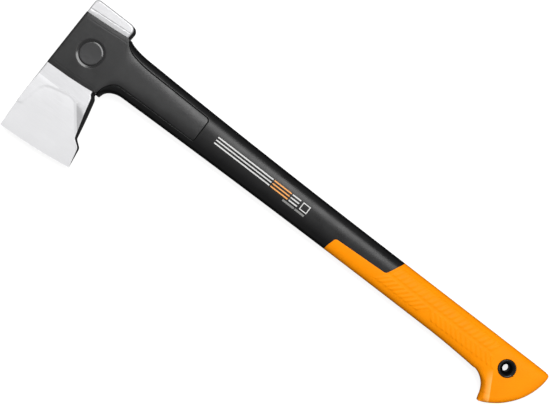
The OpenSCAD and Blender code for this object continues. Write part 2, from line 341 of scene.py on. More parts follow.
def slab(sheet, labels, top, bottom, side_tag):
    """A solid between two heights over the plane. top and bottom take (label, x, y)."""
    count = len(sheet.points)
    x, y = sheet.points[:, 0], sheet.points[:, 1]
    kinds = sorted(set(labels))
    high = {k: i for i, k in enumerate(kinds)}
    levels = [np.column_stack([x, y, top(k, x, y)]) for k in kinds]
    levels += [np.column_stack([x, y, bottom(k, x, y)]) for k in kinds]
    points = np.vstack(levels)
    faces, tags, sides = [], [], {}
    for face, label in zip(sheet.faces, labels):
        up = high[label] * count
        down = (high[label] + len(kinds)) * count
        faces.append(tuple(i + up for i in face))
        faces.append(tuple(i + down for i in reversed(face)))
        tags += [0, 0]
        for a, b in zip(face, face[1:] + face[:1]):
            sides.setdefault((min(a, b), max(a, b)), []).append((a, b, up, down))
    for users in sides.values():
        a, b, up, down = users[0]
        tag = side_tag(sheet.points[a], sheet.points[b])
        if len(users) == 1:
            faces.append((b + up, a + up, a + down, b + down))
            tags.append(tag)
        elif users[1][2] != up:
            _, _, up2, down2 = users[1]
            faces.append((b + up, a + up, a + up2, b + up2))
            faces.append((a + down, b + down, b + down2, a + down2))
            tags += [tag, tag]
    return welded(points, faces, tags)


def cap(points, edges):
    """Points and faces that close a loop. Edges run the way that the new faces use them."""
    ring = sorted({i for edge in edges for i in edge})
    middle = points[ring].mean(axis=0)
    extra, faces, prior = [], [], {i: i for i in ring}
    for scale in (0.8, 0.45):
        here = {i: len(points) + len(extra) + k for k, i in enumerate(ring)}
        extra += [middle + (points[i] - middle) * scale for i in ring]
        faces += [(prior[a], prior[b], here[b], here[a]) for a, b in edges]
        prior = here
    extra.append(middle)
    centre = len(points) + len(extra) - 1
    faces += [(prior[a], prior[b], centre) for a, b in edges]
    return np.array(extra), faces


def shell(sheet, surface, depth, wall, tag_of=None, cap_at=None):
    """A hollow piece: surface(u, v) pressed in by depth, and an inside that is wall deeper.

    Rims join the two, but where u is cap_at each of them gets a face of its own."""
    u, v = sheet.points[:, 0], sheet.points[:, 1]
    base = surface(u, v)
    reach = 0.01
    along = surface(u + reach, v) - surface(u - reach, v)
    around = surface(u, v + reach) - surface(u, v - reach)
    normal = np.cross(around, along)
    normal /= np.maximum(np.linalg.norm(normal, axis=1), 1e-12)[:, None]
    outer = base - normal * depth(u, v, base)[:, None]
    inner = outer - normal * wall(u, v, base)[:, None]
    tags = [0] * len(sheet.faces) if tag_of is None else tag_of(sheet)
    first, number = merged(outer)
    count = len(first)
    faces, kept = [], []
    for face, tag in zip(sheet.faces, tags):
        ring = [int(number[i]) for i in reversed(face)]
        ring = [a for a, b in zip(ring, ring[1:] + ring[:1]) if a != b]
        if len(ring) > 2:
            faces.append(tuple(ring))
            kept.append(tag)
    station = u[first]
    rim, tip = [], []
    for a, b in open_edges(faces):
        at_end = cap_at is not None and abs(station[a] - cap_at) + abs(station[b] - cap_at) < 1e-6
        (tip if at_end else rim).append((a, b))
    inside = [tuple(i + count for i in reversed(f)) for f in faces]
    walls = [(b, a, a + count, b + count) for a, b in rim]
    points = np.vstack([outer[first], inner[first]])
    for edges in ([(b, a) for a, b in tip], [(a + count, b + count) for a, b in tip]):
        if edges:
            extra, more = cap(points, edges)
            points = np.vstack([points, extra])
            walls += more
    return points, faces + inside + walls, kept * 2 + [0] * len(walls)


def lathe(profile, centre, sides=128):
    """A solid turned about an upright axis. profile is a closed list of (radius, height)."""
    points, faces = [], []
    n = len(profile)
    for s in range(sides):
        c, t = math.cos(2 * math.pi * s / sides), math.sin(2 * math.pi * s / sides)
        points += [(centre[0] + r * c, centre[1] + r * t, z) for r, z in profile]
    for s in range(sides):
        here, there = s * n, (s + 1) % sides * n
        for i in range(n):
            j = (i + 1) % n
            faces.append((here + i, there + i, there + j, here + j))
    return welded(np.array(points, float), faces, [0] * len(faces))


# ---------------- pieces
SHARP_FROM = 38.0          # two faces that turn by more degrees than this meet in a crisp edge


def to_frame(points):
    """Millimetres in the axe's plane as metres in the CAD frame."""
    low = np.array([CAD_BOX[0][0], CAD_BOX[0][1], (CAD_BOX[0][2] + CAD_BOX[1][2]) / 2])
    return low + (points - [0, TOE[1], 0]) * MM


def add_piece(name, solid, materials, node):
    """Makes a solid the visible form of a CAD node."""
    points, faces, tags = solid
    used = sorted({i for face in faces for i in face})
    place = {i: k for k, i in enumerate(used)}
    faces = [tuple(place[i] for i in face) for face in faces]
    mesh = bpy.data.meshes.new(name)
    mesh.from_pydata(to_frame(points[used]).tolist(), [], faces)
    for material in materials:
        mesh.materials.append(material)
    mesh.polygons.foreach_set("material_index", tags)
    mesh.validate()
    mesh.polygons.foreach_set("use_smooth", [True] * len(mesh.polygons))
    mesh.set_sharp_from_angle(angle=math.radians(SHARP_FROM))
    mesh.update()
    piece = bpy.data.objects.new(name, mesh)
    bpy.context.scene.collection.objects.link(piece)
    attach(piece, "root")
    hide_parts(node)
    return piece


def mirrored(solid):
    """The same solid on the other side of the mid-plane."""
    points, faces, tags = solid
    return points * [1, 1, -1], [tuple(reversed(f)) for f in faces], tags


# ---------------- the handle's form
def swell(d, bend):
    """A smooth rise at distance d past its start."""
    height, length, power = bend
    return height * (np.maximum(0, d) / length) ** power


def fillet(x, end, length, height):
    """How far a fillet at the neck stands off the handle's line."""
    t = np.clip((end - x) / length, 0, 1)
    return height * (1 - np.sqrt(1 - t * t))


def back_at(x):
    base = np.maximum(x, NECK_BACK[0])
    return BACK_Y + swell(BACK_BEND_X - base, BACK_BEND) + fillet(x, *NECK_BACK)


def belly_at(x):
    base = np.maximum(x, NECK_BELLY[0])
    return (BELLY_Y - swell(BELLY_BEND_X - base, BELLY_BEND)
            - swell(base - HOOK[0] + HOOK_BEND[1], HOOK_BEND) - fillet(x, *NECK_BELLY))


def half_at(x):
    return SHAFT_HALF + swell(NECK_SWELL_X - x, NECK_SWELL) - swell(x - BUTT_TAPER_X, BUTT_TAPER)


def power_at(x):
    return OVAL + swell(BOXING_X - x, BOXING)


def ring_at(u):
    """Back point, belly point, half thickness and squareness of the ring at station u.

    Up to the hook's centre a station is a length along the handle. Past it, each
    further millimetre turns the ring by a degree about that centre.
    """
    x = np.minimum(u, HOOK[0])
    turn = np.clip(u - HOOK[0], 0, FAN_END + 1)
    angle = np.radians(90 - turn)
    way = np.stack([np.cos(angle), np.sin(angle)], axis=-1)
    shift = HOOK - BUTT_ARC
    b = way @ shift
    to_arc = -b + np.sqrt(b * b - shift @ shift + BUTT_RADIUS ** 2)
    to_back = (BACK_Y - HOOK[1]) / np.maximum(np.sin(angle), 0.01)
    far = (to_back + to_arc - np.sqrt((to_back - to_arc) ** 2 + 4 * BUTT_CORNER ** 2)) / 2
    far = np.minimum(far, HOOK_CUT[1] / np.maximum(np.cos(angle + math.radians(HOOK_CUT[0])), 0.01))
    fan = (turn > 0)[..., None]
    back = np.where(fan, HOOK + far[..., None] * way, np.stack([x, back_at(x)], axis=-1))
    reach = (HOOK_RADIUS + swell(HOOK_TIGHT[0] - turn, HOOK_TO_BELLY)
             + swell(turn - HOOK_TIGHT[1], HOOK_TO_TIP))
    belly = np.where(fan, HOOK + reach[..., None] * way, np.stack([x, belly_at(x)], axis=-1))
    feather, start, span = TIP_FEATHER
    half = half_at(x) * (1 - TIP_THINNING * (turn / 90) ** 1.5)
    half = half * (1 - feather * smooth((turn - start) / span))
    depth = np.linalg.norm(back - belly, axis=-1)
    power = np.where(turn > 0, np.clip(OVAL * depth / BUTT_DEPTH, *BUTT_POWERS), power_at(x))
    return back, belly, half, power


def signed_power(value, power):
    return np.sign(value) * np.abs(value) ** power


def handle(u, v):
    """The handle's surface: u is the station, v the angle round the ring from its back."""
    back, belly, half, power = ring_at(u)
    a = np.radians(v)
    across = signed_power(np.cos(a), 2 / power)[..., None]
    plan = (back + belly) / 2 + (back - belly) / 2 * across
    z = half * signed_power(np.sin(a), 2 / np.minimum(power, SIDE_POWER))
    return np.concatenate([plan, z[..., None]], axis=-1)


def handle_top(x, y):
    """Height of the handle's upper side over the plane, between neck and hook."""
    back, belly, half, power = ring_at(x)
    middle = (back[..., 1] + belly[..., 1]) / 2
    reach = (back[..., 1] - belly[..., 1]) / 2
    t = np.clip(np.abs(y - middle) / reach, 0, 1)
    flat = np.minimum(power, SIDE_POWER)
    return half * np.maximum(1 - t ** power, 0) ** (1 / flat)


def plan_of(level):
    """A level in the plane as a level over stations and angles of the handle."""
    def over(u, v):
        p = handle(u, v)
        return level(p[:, 0], p[:, 1])
    return over


# ---------------- steel head
EDGE_CHORD = HEEL - TOE
EDGE_SPAN = float(np.linalg.norm(EDGE_CHORD))
EDGE_CENTRE = (TOE + EDGE_CHORD / 2
               + np.array([-EDGE_CHORD[1], EDGE_CHORD[0]]) / EDGE_SPAN
               * math.sqrt(EDGE_RADIUS ** 2 - (EDGE_SPAN / 2) ** 2))
GROUND_LINE = [(-3.0, -83.0), (5.2, -80.4), (8.0, -66.3), (10.5, -56.6), (15.0, -50.2), (22.6, -46.9),
               (32.3, -44.7), (43.0, -42.6), (49.4, -43.2), (53.8, -45.9)]
FACET_LINE = [GROUND_LINE[-1], (67.0, -63.0), (77.0, -76.1)]
in_ground = partial(distance, rounded(
    [(x, y, 3) for x, y in GROUND_LINE[:-1]] + [(*GROUND_LINE[-1], 1)]
    + [(x, y, 0) for x, y in FACET_LINE[1:]]
    + [(100.0, -105.0, 0), (100.0, -130.0, 0), (-3.0, -130.0, 0)], 4))
GROUND_TOP = -45.0         # the cheek above is satin, and the steel below is ground
GROUND_DEPTH = 0.6         # how far the ground faces lie below the forged ones
GROUND_BLEND = 3.0         # width of the soft step around them
GROUND_FADE = 25.0         # this near to the edge the ground faces have reached the lens's own form
FACET_BLEND = 3.0
FACET_SLOPE = 0.10         # rise of the facet towards the heel's side
FACET_TOP = (65.0, -42.0)
END_CORNER = 3.0           # radius that rounds the head's end
END_DROP = 0.92            # how far down the end it reaches, as a share of that radius
EDGE_LAND = 0.12           # half thickness left at the very edge
STEEL_ROUND = 0.9
ROUND_FADE = 12.0          # the blade's rim gets crisp this near to the edge
POLL_ROUND = 2.0
POLL_LINE = [(3.2, 44.0), (53.9, 48.1)]
POLL_FALL = 0.09           # slope of the poll's faces below the line
POLL_FROM = 38.0
POLL_GROOVE, POLL_GROOVE_WIDTH = 0.3, 0.7      # a fine groove along that line


def from_edge(x, y):
    """Distance in from the cutting edge."""
    return EDGE_RADIUS - np.hypot(x - EDGE_CENTRE[0], y - EDGE_CENTRE[1])


def facet_side(x, y):
    """Distance past the ground face's slanting right border, towards the heel."""
    return beside(FACET_LINE[0], FACET_LINE[-1], x, y)


def facet_top(x, y):
    """Distance below the line where the facet meets the forged face."""
    return -beside(FACET_LINE[0], FACET_TOP, x, y)


def blade_half(x, y):
    run = CHEEK_RADIUS * math.sin(math.radians(EDGE_ANGLE))
    rise = CHEEK_RADIUS * math.cos(math.radians(EDGE_ANGLE))
    s = np.clip(from_edge(x, y), 0, run)
    lens = np.sqrt(CHEEK_RADIUS ** 2 - (run - s) ** 2) - rise
    h = np.minimum(lens, SHOULDER)
    h = h - GROUND_DEPTH * smooth(in_ground(x, y) / GROUND_BLEND) * smooth(s / GROUND_FADE)
    facet = FACET_SLOPE * np.maximum(facet_side(x, y), 0) * smooth(facet_top(x, y) / FACET_BLEND)
    h = np.minimum(h + facet, SHOULDER)
    lean = np.clip(x - end_x(y), 0, END_CORNER)
    end = SHOULDER - END_DROP * END_CORNER + np.sqrt(END_CORNER ** 2 - (END_CORNER - lean) ** 2)
    h = np.minimum(h, end)
    h = h - rounding(in_head(x, y), STEEL_ROUND) * smooth(s / ROUND_FADE)
    return np.maximum(h, EDGE_LAND)


def poll_half(x, y):
    line = above(POLL_LINE, x, y)
    h = POLL_HALF - POLL_FALL * np.maximum(0, -line)
    h = h - POLL_GROOVE * smooth(1 - np.abs(line) / POLL_GROOVE_WIDTH)
    return h - rounding(in_head(x, y), POLL_ROUND)


def spaced(*stops):
    """Values from stop to stop: each pair after the first stop is (stop, step)."""
    out = [stops[0]]
    for stop, step in stops[1:]:
        count = max(1, round((stop - out[-1]) / step))
        out += list(np.linspace(out[-1], stop, count + 1)[1:])
    return out


BLADE, WEB, POLL = 0, 1, 3      # face labels: bit 0 above the blade border, bit 1 above the poll border


def head_solid():
    sheet = Sheet(spaced(-0.3, (0.3, 0.3), (2.7, 0.6), (WEB_END, 0.7), (92, 1.1)),
                  spaced(-116, (-96, 0.8), (-35, 1.2), (44, 3.0), (57, 0.9)))
    sheet.keep(in_head)
    sheet.keep(lambda x, y: from_edge(x, y) - 0.02)

    for level in (over_blade, over_poll, facet_side, facet_top):
        sheet.split(level)
    for d in (-1, -0.5, 0, 0.5, 1):
        sheet.split(lambda x, y: above(POLL_LINE, x, y), d * POLL_GROOVE_WIDTH)
    for d in round_levels(STEEL_ROUND) + [POLL_ROUND]:
        sheet.split(in_head, d)
    for d in (0, 0.5 * GROUND_BLEND, GROUND_BLEND):
        sheet.split(in_ground, d)
    sheet.keep(lambda x, y: np.hypot(x - RECESS[0], y - RECESS[1]) - PIN_RADIUS)
    labels = sheet.labels(over_blade, over_poll)
    middles = sheet.middles()
    good = (labels != WEB) | (middles[:, 0] > WEB_END)
    sheet.faces = [f for f, g in zip(sheet.faces, good) if g]
    labels = labels[good]
    forms = {BLADE: blade_half, WEB: lambda x, y: np.full(x.shape, WEB_HALF), POLL: poll_half}

    def side(a, b):
        return 0 if (a[1] + b[1]) / 2 > POLL_Y - 0.5 else 1

    points, faces, tags = slab(sheet, labels, lambda k, x, y: forms[k](x, y),
                               lambda k, x, y: -forms[k](x, y), side)
    middles = centres(points, faces)
    # The facet's faces get the steel that painted shade makes darker.
    on_shaded_facet = (np.minimum(facet_side(middles[:, 0], middles[:, 1]),
                           facet_top(middles[:, 0], middles[:, 1])) > 0) & (np.array(tags) == 0)
    on_shaded_facet &= middles[:, 1] < FACET_TOP[1]
    on_cheek = (in_ground(middles[:, 0], middles[:, 1]) < 0) & (np.array(tags) == 0)
    on_cheek &= middles[:, 1] > GROUND_TOP
    on_poll = on_cheek & (middles[:, 1] > POLL_FROM)
    return points, faces, list(np.select([on_shaded_facet, on_poll, on_cheek], [2, 4, 3], tags))


# ---------------- jackets and caps
CREASE_AT = 5.4            # the cheek falls away outside a crease this far from its borders
CREASE_FALL = 0.3
CREASE_DEPTH = 0.08
CREASE_WIDTH = 0.9
CREASE_END, CREASE_TURN = 58.0, 0.8    # past this station it leaves the cheek at this slope
JACKET_ROUND = 0.6
JACKET_INSET = 0.1
JACKET_HOLE = 16.8
GROOVE_RADIUS = 13.5       # foot of the recess's sloping flank
FLANK_FALL = 0.5
FOOT_ROUND = 0.15
CAP_RADIUS, CAP_FLAT = 13.3, 11.95     # of the cap, and of its dished face inside the sloping rim
CAP_SUNK = 0.12            # how far its rim lies below the cheek
CAP_DISH = 0.22
BUSH_INSET, BUSH_PROUD, BUSH_ROUND = 0.05, 0.2, 0.9
END_ROUND = 3.0
CHEEK_FROM, CHEEK_TO = 60.0, 76.0      # the flat cheek runs into the neck's curve here
NECK_FROM = 57.0
WEB_TO, WEB_GAP = 60.3, 0.02           # the web's room ends at this station, and this far above the web


def jacket_edge(x, y):
    """Distance in from the jacket's rim."""
    return in_jacket(x, y) - JACKET_INSET


def crease_distance(x, y):
    """Distance in from the two borders with the steel."""
    inward = np.minimum(over_blade(x, y), -over_poll(x, y))
    return inward + np.maximum(0, x - CREASE_END) * CREASE_TURN


def jacket_top(x, y):
    w = smooth((x - CHEEK_FROM) / (CHEEK_TO - CHEEK_FROM))
    d = crease_distance(x, y)
    cheek = HALF_JACKET - CREASE_FALL * np.clip(1 - d / CREASE_AT, 0, 1)
    cheek = cheek - CREASE_DEPTH * smooth(1 - np.abs(d - CREASE_AT) / CREASE_WIDTH)
    h = cheek * (1 - w) + handle_top(np.maximum(x, NECK_FROM), y) * w
    h = h - rounding(x - end_x(y), END_ROUND)
    return h - rounding(jacket_edge(x, y), JACKET_ROUND)


def jacket_solid():
    stations = spaced(-0.3, (0.3, 0.3), (3.0, 0.6), (WEB_END, 0.8), (WEB_TO, 1.2), (PANEL_END + 1, 1.4))
    sheet = Sheet(stations, spaced(-31, (45, 1.1)))
    sheet.keep(jacket_edge)
    sheet.keep(lambda x, y: np.hypot(x - RECESS[0], y - RECESS[1]) - JACKET_HOLE)
    for d in round_levels(JACKET_ROUND):
        sheet.split(jacket_edge, d)
    for d in (-CREASE_WIDTH, -0.4 * CREASE_WIDTH, 0, 0.4 * CREASE_WIDTH, CREASE_WIDTH):
        sheet.split(crease_distance, CREASE_AT + d)
    labels = sheet.labels(lambda x, y: np.minimum(x - WEB_END, WEB_TO - x))
    bottoms = (0.0, WEB_HALF + WEB_GAP)
    shape = slab(sheet, labels, lambda k, x, y: jacket_top(x, y),
                 lambda k, x, y: np.full(x.shape, bottoms[k]), lambda a, b: 0)
    foot = HALF_JACKET - FLANK_FALL
    flank = [(GROOVE_RADIUS + FOOT_ROUND * (1 - math.sin(a)), foot - FOOT_ROUND * math.cos(a))
             for a in np.linspace(0, math.pi / 2, 4)]
    lip = [(RECESS_RADIUS, HALF_JACKET - 0.05), (RECESS_RADIUS + 0.25, HALF_JACKET)]
    hole = PIN_RADIUS + 0.1
    ring = [(hole, bottoms[1]), (JACKET_HOLE, bottoms[1]), (JACKET_HOLE, HALF_JACKET)]
    ring += lip[::-1] + flank[::-1] + [(GROOVE_RADIUS - 0.1, RECESS_FLOOR), (hole, RECESS_FLOOR)]
    return joined(shape, polished(lathe(ring, RECESS), GROOVE_RADIUS, RECESS_RADIUS + 0.1))


def polished(solid, inside, outside):
    """Tag 1 on the faces of a turned solid whose middles lie between two radii near its top."""
    points, faces, _ = solid
    middles = centres(points, faces)
    reach = np.hypot(middles[:, 0] - RECESS[0], middles[:, 1] - RECESS[1])
    shiny = (reach > inside) & (reach < outside) & (middles[:, 2] > HALF_JACKET - 1)
    return points, faces, list(shiny.astype(int))


def cap_solid():
    top = HALF_JACKET - CAP_SUNK
    base = RECESS_FLOOR + 0.05
    edge = [(CAP_RADIUS, base), (CAP_RADIUS, top - 0.5), (CAP_RADIUS - 0.1, top - 0.30),
            (CAP_FLAT + 0.2, top - 0.06), (CAP_FLAT, top)]
    dish = [(r, top - CAP_DISH * (1 - (r / CAP_FLAT) ** 2)) for r in (11, 9, 6.5, 4, 1.5, 0.0)]
    return polished(lathe([(0.0, base)] + edge + dish, RECESS), CAP_FLAT + 0.01, CAP_RADIUS + 0.1)


def bush_solid():
    outer, half, lip = BUSH_RADIUS - BUSH_INSET, BUTT_HALF + BUSH_PROUD, BUSH_ROUND
    rim = [(outer - lip * (1 - math.sin(a)), half - lip * (1 - math.cos(a)))
           for a in np.linspace(math.pi / 2, 0, 7)]
    throat = [(BORE_RADIUS, THROAT / 2)]
    steps = 10
    bell = []
    for i in range(1, steps):
        t = i / steps
        bell.append((BORE_RADIUS + (outer - lip - BORE_RADIUS) * t, THROAT / 2
                     + (half - THROAT / 2) * math.sin(t * math.pi / 2)))
    upper = rim + bell[::-1] + throat
    lower = [(r, -z) for r, z in upper[::-1]]
    return lathe(upper + lower, EYELET)


def joined(*solids):
    """Several solids as one."""
    points, faces, tags, base = [], [], [], 0
    for p, f, t in solids:
        points.append(p)
        faces += [tuple(i + base for i in face) for face in f]
        tags += list(t)
        base += len(p)
    return np.vstack(points), faces, tags


# ---------------- handle pieces
RING_COLUMNS = 176


def ring_angles():
    """Angles round a ring that set its points about evenly apart."""
    fine = 1800                # steps in a quarter of the ring
    a = np.radians(np.linspace(0, 360, 4 * fine + 1))
    x = SHAFT_HALF * 1.5 * signed_power(np.cos(a), 2 / SIDE_POWER)
    z = SHAFT_HALF * signed_power(np.sin(a), 2 / SIDE_POWER)
    run = np.concatenate([[0], np.cumsum(np.hypot(np.diff(x), np.diff(z)))])
    quarter = np.interp(np.linspace(0, run[fine], RING_COLUMNS // 4 + 1),
                        run[:fine + 1], np.degrees(a[:fine + 1]))
    half = np.concatenate([quarter, 180 - quarter[-2::-1]])
    return list(half) + list(360 - half[-2::-1])


# Printed on the shaft's upper side: plain stripes and bars as (x from, x to, y from, y to, finish)
PRINT_WHITE, PRINT_ORANGE, PRINT_GREY = 1, 2, 3
STRIPES = ((9.8, 11.3), (13.5, 14.9), (17.1, 18.6))
PRINT_BARS = [(x0, x1, y0, y1, finish) for y0, y1 in STRIPES for x0, x1, finish in
              ((196.0, 270.4, PRINT_WHITE), (271.8, 294.9, PRINT_ORANGE), (296.4, 307.6, PRINT_WHITE))] + [
    (310.8, 320.4, 9.8, 18.6, PRINT_WHITE),
    (291.0, 306.4, 5.6, 7.8, PRINT_GREY),
    (307.4, 319.8, 5.6, 7.8, PRINT_GREY),
]
SQUARE_HOLE = (311.8, 319.4, 10.8, 17.6)
PRINT_ANGLES = (10, 170)   # the part of each ring that faces up

# Ridges on the grip, each field as (x from, x to, y from, y to, degrees, period)
RIDGES = [
    (424.0, 573.0, 14.0, 28.0, 60.0, 6.8),
    (424.0, 486.0, 0.0, 12.6, 45.0, 6.8),
    (488.0, 578.0, 0.0, 12.6, 130.0, 6.8),
]
RIDGE_HEIGHT = 0.85
RIDGE_FADE = 2.0
TIP_ROUND = 0.4
RIM_ROUND = 0.15
EYE_ROUND = 0.8            # of the grip where it meets the eyelet
THINNEST = 0.35            # the grip's wall is at most this share of a ring's depth
DEGREE = 0.8               # millimetres along the tip's ring for each degree of turn
BUSH_GAP = 0.12


def print_tags(sheet):
    """Finish of each face of the shaft: 0 for bare plastic."""
    m = sheet.middles()
    p = handle(m[:, 0], m[:, 1])
    tags = np.zeros(len(m), int)
    on_top = (m[:, 1] > PRINT_ANGLES[0]) & (m[:, 1] < PRINT_ANGLES[1])
    for x0, x1, y0, y1, finish in PRINT_BARS + [(*SQUARE_HOLE, 0)]:
        tags[on_top & (p[:, 0] > x0) & (p[:, 0] < x1) & (p[:, 1] > y0) & (p[:, 1] < y1)] = finish
    return list(tags)


def only_near(level, x0, x1):
    """A level that matters only between two stations on the upper side."""
    def bounded(u, v):
        out = level(u, v)
        near = (u > x0 - 0.01) & (u < x1 + 0.01) & (v < 181)
        return np.where(near, out, 1.0)
    return bounded


HORN_END = -25.6           # the fork's lower horn is cut off square here
FORK_ROUND = 0.6
GRIP_STEP = 0.8            # length over which the shaft drops under the grip
FORK_THINNING = (3.0, 66, 10)          # how much thinner the fork's wall is, up to where, and over what
FORK_ROWS = [55.4, 55.7, 56.1, 56.7, 57.5, 58.5]       # stations close together at the fork's rim


def shaft_solid():
    marks = sorted({x for bar in PRINT_BARS for x in bar[:2]} | set(SQUARE_HOLE[:2]))
    stations = FORK_ROWS + spaced(60.0, (92.0, 1.4), (186.0, 1.5), (marks[0], 3.0))[1:]
    for mark in marks[1:]:
        stations = stations + spaced(stations[-1], (mark, 3.4))[1:]
    stations = stations + spaced(stations[-1], (350.0, 3.0), (446.0, 1.5), (556.0, 6.0))[1:]
    sheet = Sheet(stations, ring_angles())
    fork = plan_of(lambda x, y: -in_fork(x, y) - SEAM)
    grip = plan_of(in_grip)
    sheet.keep(fork)
    sheet.keep(plan_of(lambda x, y: y - HORN_END))
    for d in round_levels(FORK_ROUND):
        sheet.split(fork, d)
    for d in (0, 0.3, GRIP_STEP):
        sheet.split(grip, d)
    for y in sorted({y for bar in PRINT_BARS for y in bar[2:4]} | set(SQUARE_HOLE[2:])):
        sheet.split(only_near(plan_of(lambda px, py: py - y), marks[0], marks[-1]))

    def depth(u, v, base):
        inside = in_grip(base[:, 0], base[:, 1])
        beyond = -in_fork(base[:, 0], base[:, 1]) - SEAM
        return (GRIP_WALL + 0.05) * smooth(inside / GRIP_STEP) + rounding(beyond, FORK_ROUND)

    def wall(u, v, base):
        inside = in_grip(base[:, 0], base[:, 1])
        thinner, end, span = FORK_THINNING
        return SHAFT_WALL - GRIP_WALL * smooth(inside / GRIP_STEP) - thinner * smooth((end - u) / span)

    return shell(sheet, lambda u, v: handle(u, v % 360), depth, wall, print_tags)


def ridge_height(x, y):
    """How far the grip's ridges stand proud over the plane."""
    total = np.zeros(x.shape)
    for x0, x1, y0, y1, slope, period in RIDGES:
        lean = (y - (y0 + y1) / 2) / math.tan(math.radians(slope))
        inside = np.minimum(np.minimum(x - lean - x0, x1 - x + lean) * 0.9, np.minimum(y - y0, y1 - y))
        wave = 0.5 - 0.5 * np.cos(2 * math.pi * (x - lean) / period)
        total += RIDGE_HEIGHT * wave ** 0.8 * smooth(inside / RIDGE_FADE)
    return total


HOOK_CREASE = ((585.0, -6.0), (598.5, -29.5))   # a crisp crease, with a low rib on its inner side
RIB_HEIGHT, RIB_WIDTH = 1.7, 7.5
RIB_FADE = 6.0             # it runs out this near to its upper end and to the hook's rims


def rib_height(x, y):
    """How far the hook's rib stands proud."""
    (ax, ay), (bx, by) = HOOK_CREASE
    length = math.hypot(bx - ax, by - ay)
    along = ((x - ax) * (bx - ax) + (y - ay) * (by - ay)) / length
    inward = -beside(*HOOK_CREASE, x, y)
    faces = math.radians(HOOK_CUT[0])
    to_cut = HOOK_CUT[1] - (x - HOOK[0]) * math.cos(faces) + (y - HOOK[1]) * math.sin(faces)
    to_rim = np.minimum(np.hypot(x - HOOK[0], y - HOOK[1]) - HOOK_RADIUS, to_cut)
    ends = smooth((along + RIB_FADE) / (2 * RIB_FADE)) * smooth(to_rim / RIB_FADE)
    return RIB_HEIGHT * np.sin(np.clip(inward / RIB_WIDTH, 0, 1) * math.pi / 2) * ends


def hook_crease(x, y):
    """The crease as a level that matters only on the hook."""
    near = (y < HOOK_CREASE[0][1] + RIB_FADE) & (x > HOOK[0] + 10)
    return np.where(near, -beside(*HOOK_CREASE, x, y), 1.0)


def grip_solid():
    tip = HOOK[0] + FAN_END
    stations = spaced(354.0, (HOOK[0], 1.25), (tip - 4, 1.0), (tip - 1.0, 0.6), (tip, 0.25))
    sheet = Sheet(stations, ring_angles())
    grip = plan_of(in_grip)
    bush = plan_of(lambda x, y: np.hypot(x - EYELET[0], y - EYELET[1]) - BUSH_RADIUS - BUSH_GAP)
    sheet.keep(grip)
    sheet.keep(bush)
    for d in round_levels(EYE_ROUND):
        sheet.split(bush, d)
    sheet.split(plan_of(hook_crease))

    def depth(u, v, base):
        x, y = base[:, 0], base[:, 1]
        top = np.hypot(x - EYELET[0], y - EYELET[1]) - BUSH_RADIUS - BUSH_GAP
        return (rounding(top, EYE_ROUND) + rounding(in_grip(x, y), RIM_ROUND)
                + rounding((tip - u) * DEGREE, TIP_ROUND) * (u > HOOK[0])
                - ridge_height(x, y) - rib_height(x, y))

    def wall(u, v, base):
        back, belly, _, _ = ring_at(u)
        return np.minimum(GRIP_WALL, THINNEST * np.linalg.norm(back - belly, axis=-1))

    return shell(sheet, lambda u, v: handle(u, v % 360), depth, wall, cap_at=tip)


# ---------------- finishes
class Nodes:
    """Adds nodes to one tree."""

    def __init__(self, tree):
        self.tree = tree

    def add(self, kind, inputs=(), output=0, **settings):
        node = self.tree.nodes.new("ShaderNode" + kind)
        for key, value in settings.items():
            setattr(node, key, value)
        for key, value in dict(inputs).items():
            if isinstance(value, bpy.types.NodeSocket):
                self.tree.links.new(value, node.inputs[key])
            else:
                node.inputs[key].default_value = value
        return node.outputs[output]

    def ramp(self, value, low, high, a, b, **settings):
        """A value from a, where the input is at low, to b, where it is at high."""
        return self.add("MapRange", {"Value": value, "From Min": low, "From Max": high,
                                     "To Min": a, "To Max": b}, "Result", **settings)

    def maths(self, operation, a, b=0.0):
        return self.add("Math", {0: a, 1: b}, operation=operation)


class Finish(Nodes):
    """A procedural material around one Principled shader."""

    def __init__(self, name, **values):
        self.material = bpy.data.materials.new(name)
        self.material.use_nodes = True
        super().__init__(self.material.node_tree)
        self.shader = self.tree.nodes["Principled BSDF"]
        for key, value in values.items():
            self.shader.inputs[key.replace("_", " ")].default_value = value
        self.place = self.add("TexCoord", output="Object")

    def noise(self, scale, detail=3.0, roughness=0.55, stretch=(1, 1, 1), turn=0.0):
        """Smooth noise over the piece's own coordinates; scale is in cycles to the metre."""
        where = self.add("Mapping", {"Vector": self.place, "Scale": stretch,
                                     "Rotation": (0, 0, math.radians(turn))})
        return self.add("TexNoise", {"Vector": where, "Scale": scale, "Detail": detail,
                                     "Roughness": roughness}, "Fac")

    def lean(self, way, start):
        """Millimetres travelled from a start in a plane direction."""
        gone = self.add("VectorMath", {0: self.place, 1: (*way, 0)}, "Value", operation="DOT_PRODUCT")
        first = way[0] * start[0] + way[1] * start[1]
        return self.maths("MULTIPLY", self.maths("SUBTRACT", gone, first), 1 / MM)

    def blend(self, amount, a, b):
        """Colour a where amount is 0, and colour b where it is 1."""
        node = self.tree.nodes.new("ShaderNodeMix")
        node.data_type = "RGBA"
        self.tree.links.new(amount, node.inputs[0])
        for slot_at, value in ((6, a), (7, b)):
            if isinstance(value, bpy.types.NodeSocket):
                self.tree.links.new(value, node.inputs[slot_at])
            else:
                node.inputs[slot_at].default_value = (*value, 1)
        return node.outputs[2]

    def mottle(self, texture, cloud, light, dark):
        """A colour that wanders between two, finely with the texture and broadly with the cloud."""
        tone = self.maths("ADD", self.ramp(texture, 0.3, 0.7, 0, 0.4), self.ramp(cloud, 0.3, 0.7, 0, 0.6))
        return self.blend(tone, dark, light)

    def bump(self, height, distance, over=None):
        inputs = {"Height": height, "Distance": distance, "Strength": 1.0}
        if over is not None:
            inputs["Normal"] = over
        return self.add("Bump", inputs, "Normal")

    def set(self, **sockets):
        for key, value in sockets.items():
            self.tree.links.new(value, self.shader.inputs[key.replace("_", " ")])
        return self.material


# Pale colour blended into the ground steel towards the cutting edge as painted light.
PAINTED_EDGE_LIGHT = (0.93, 0.93, 0.945)


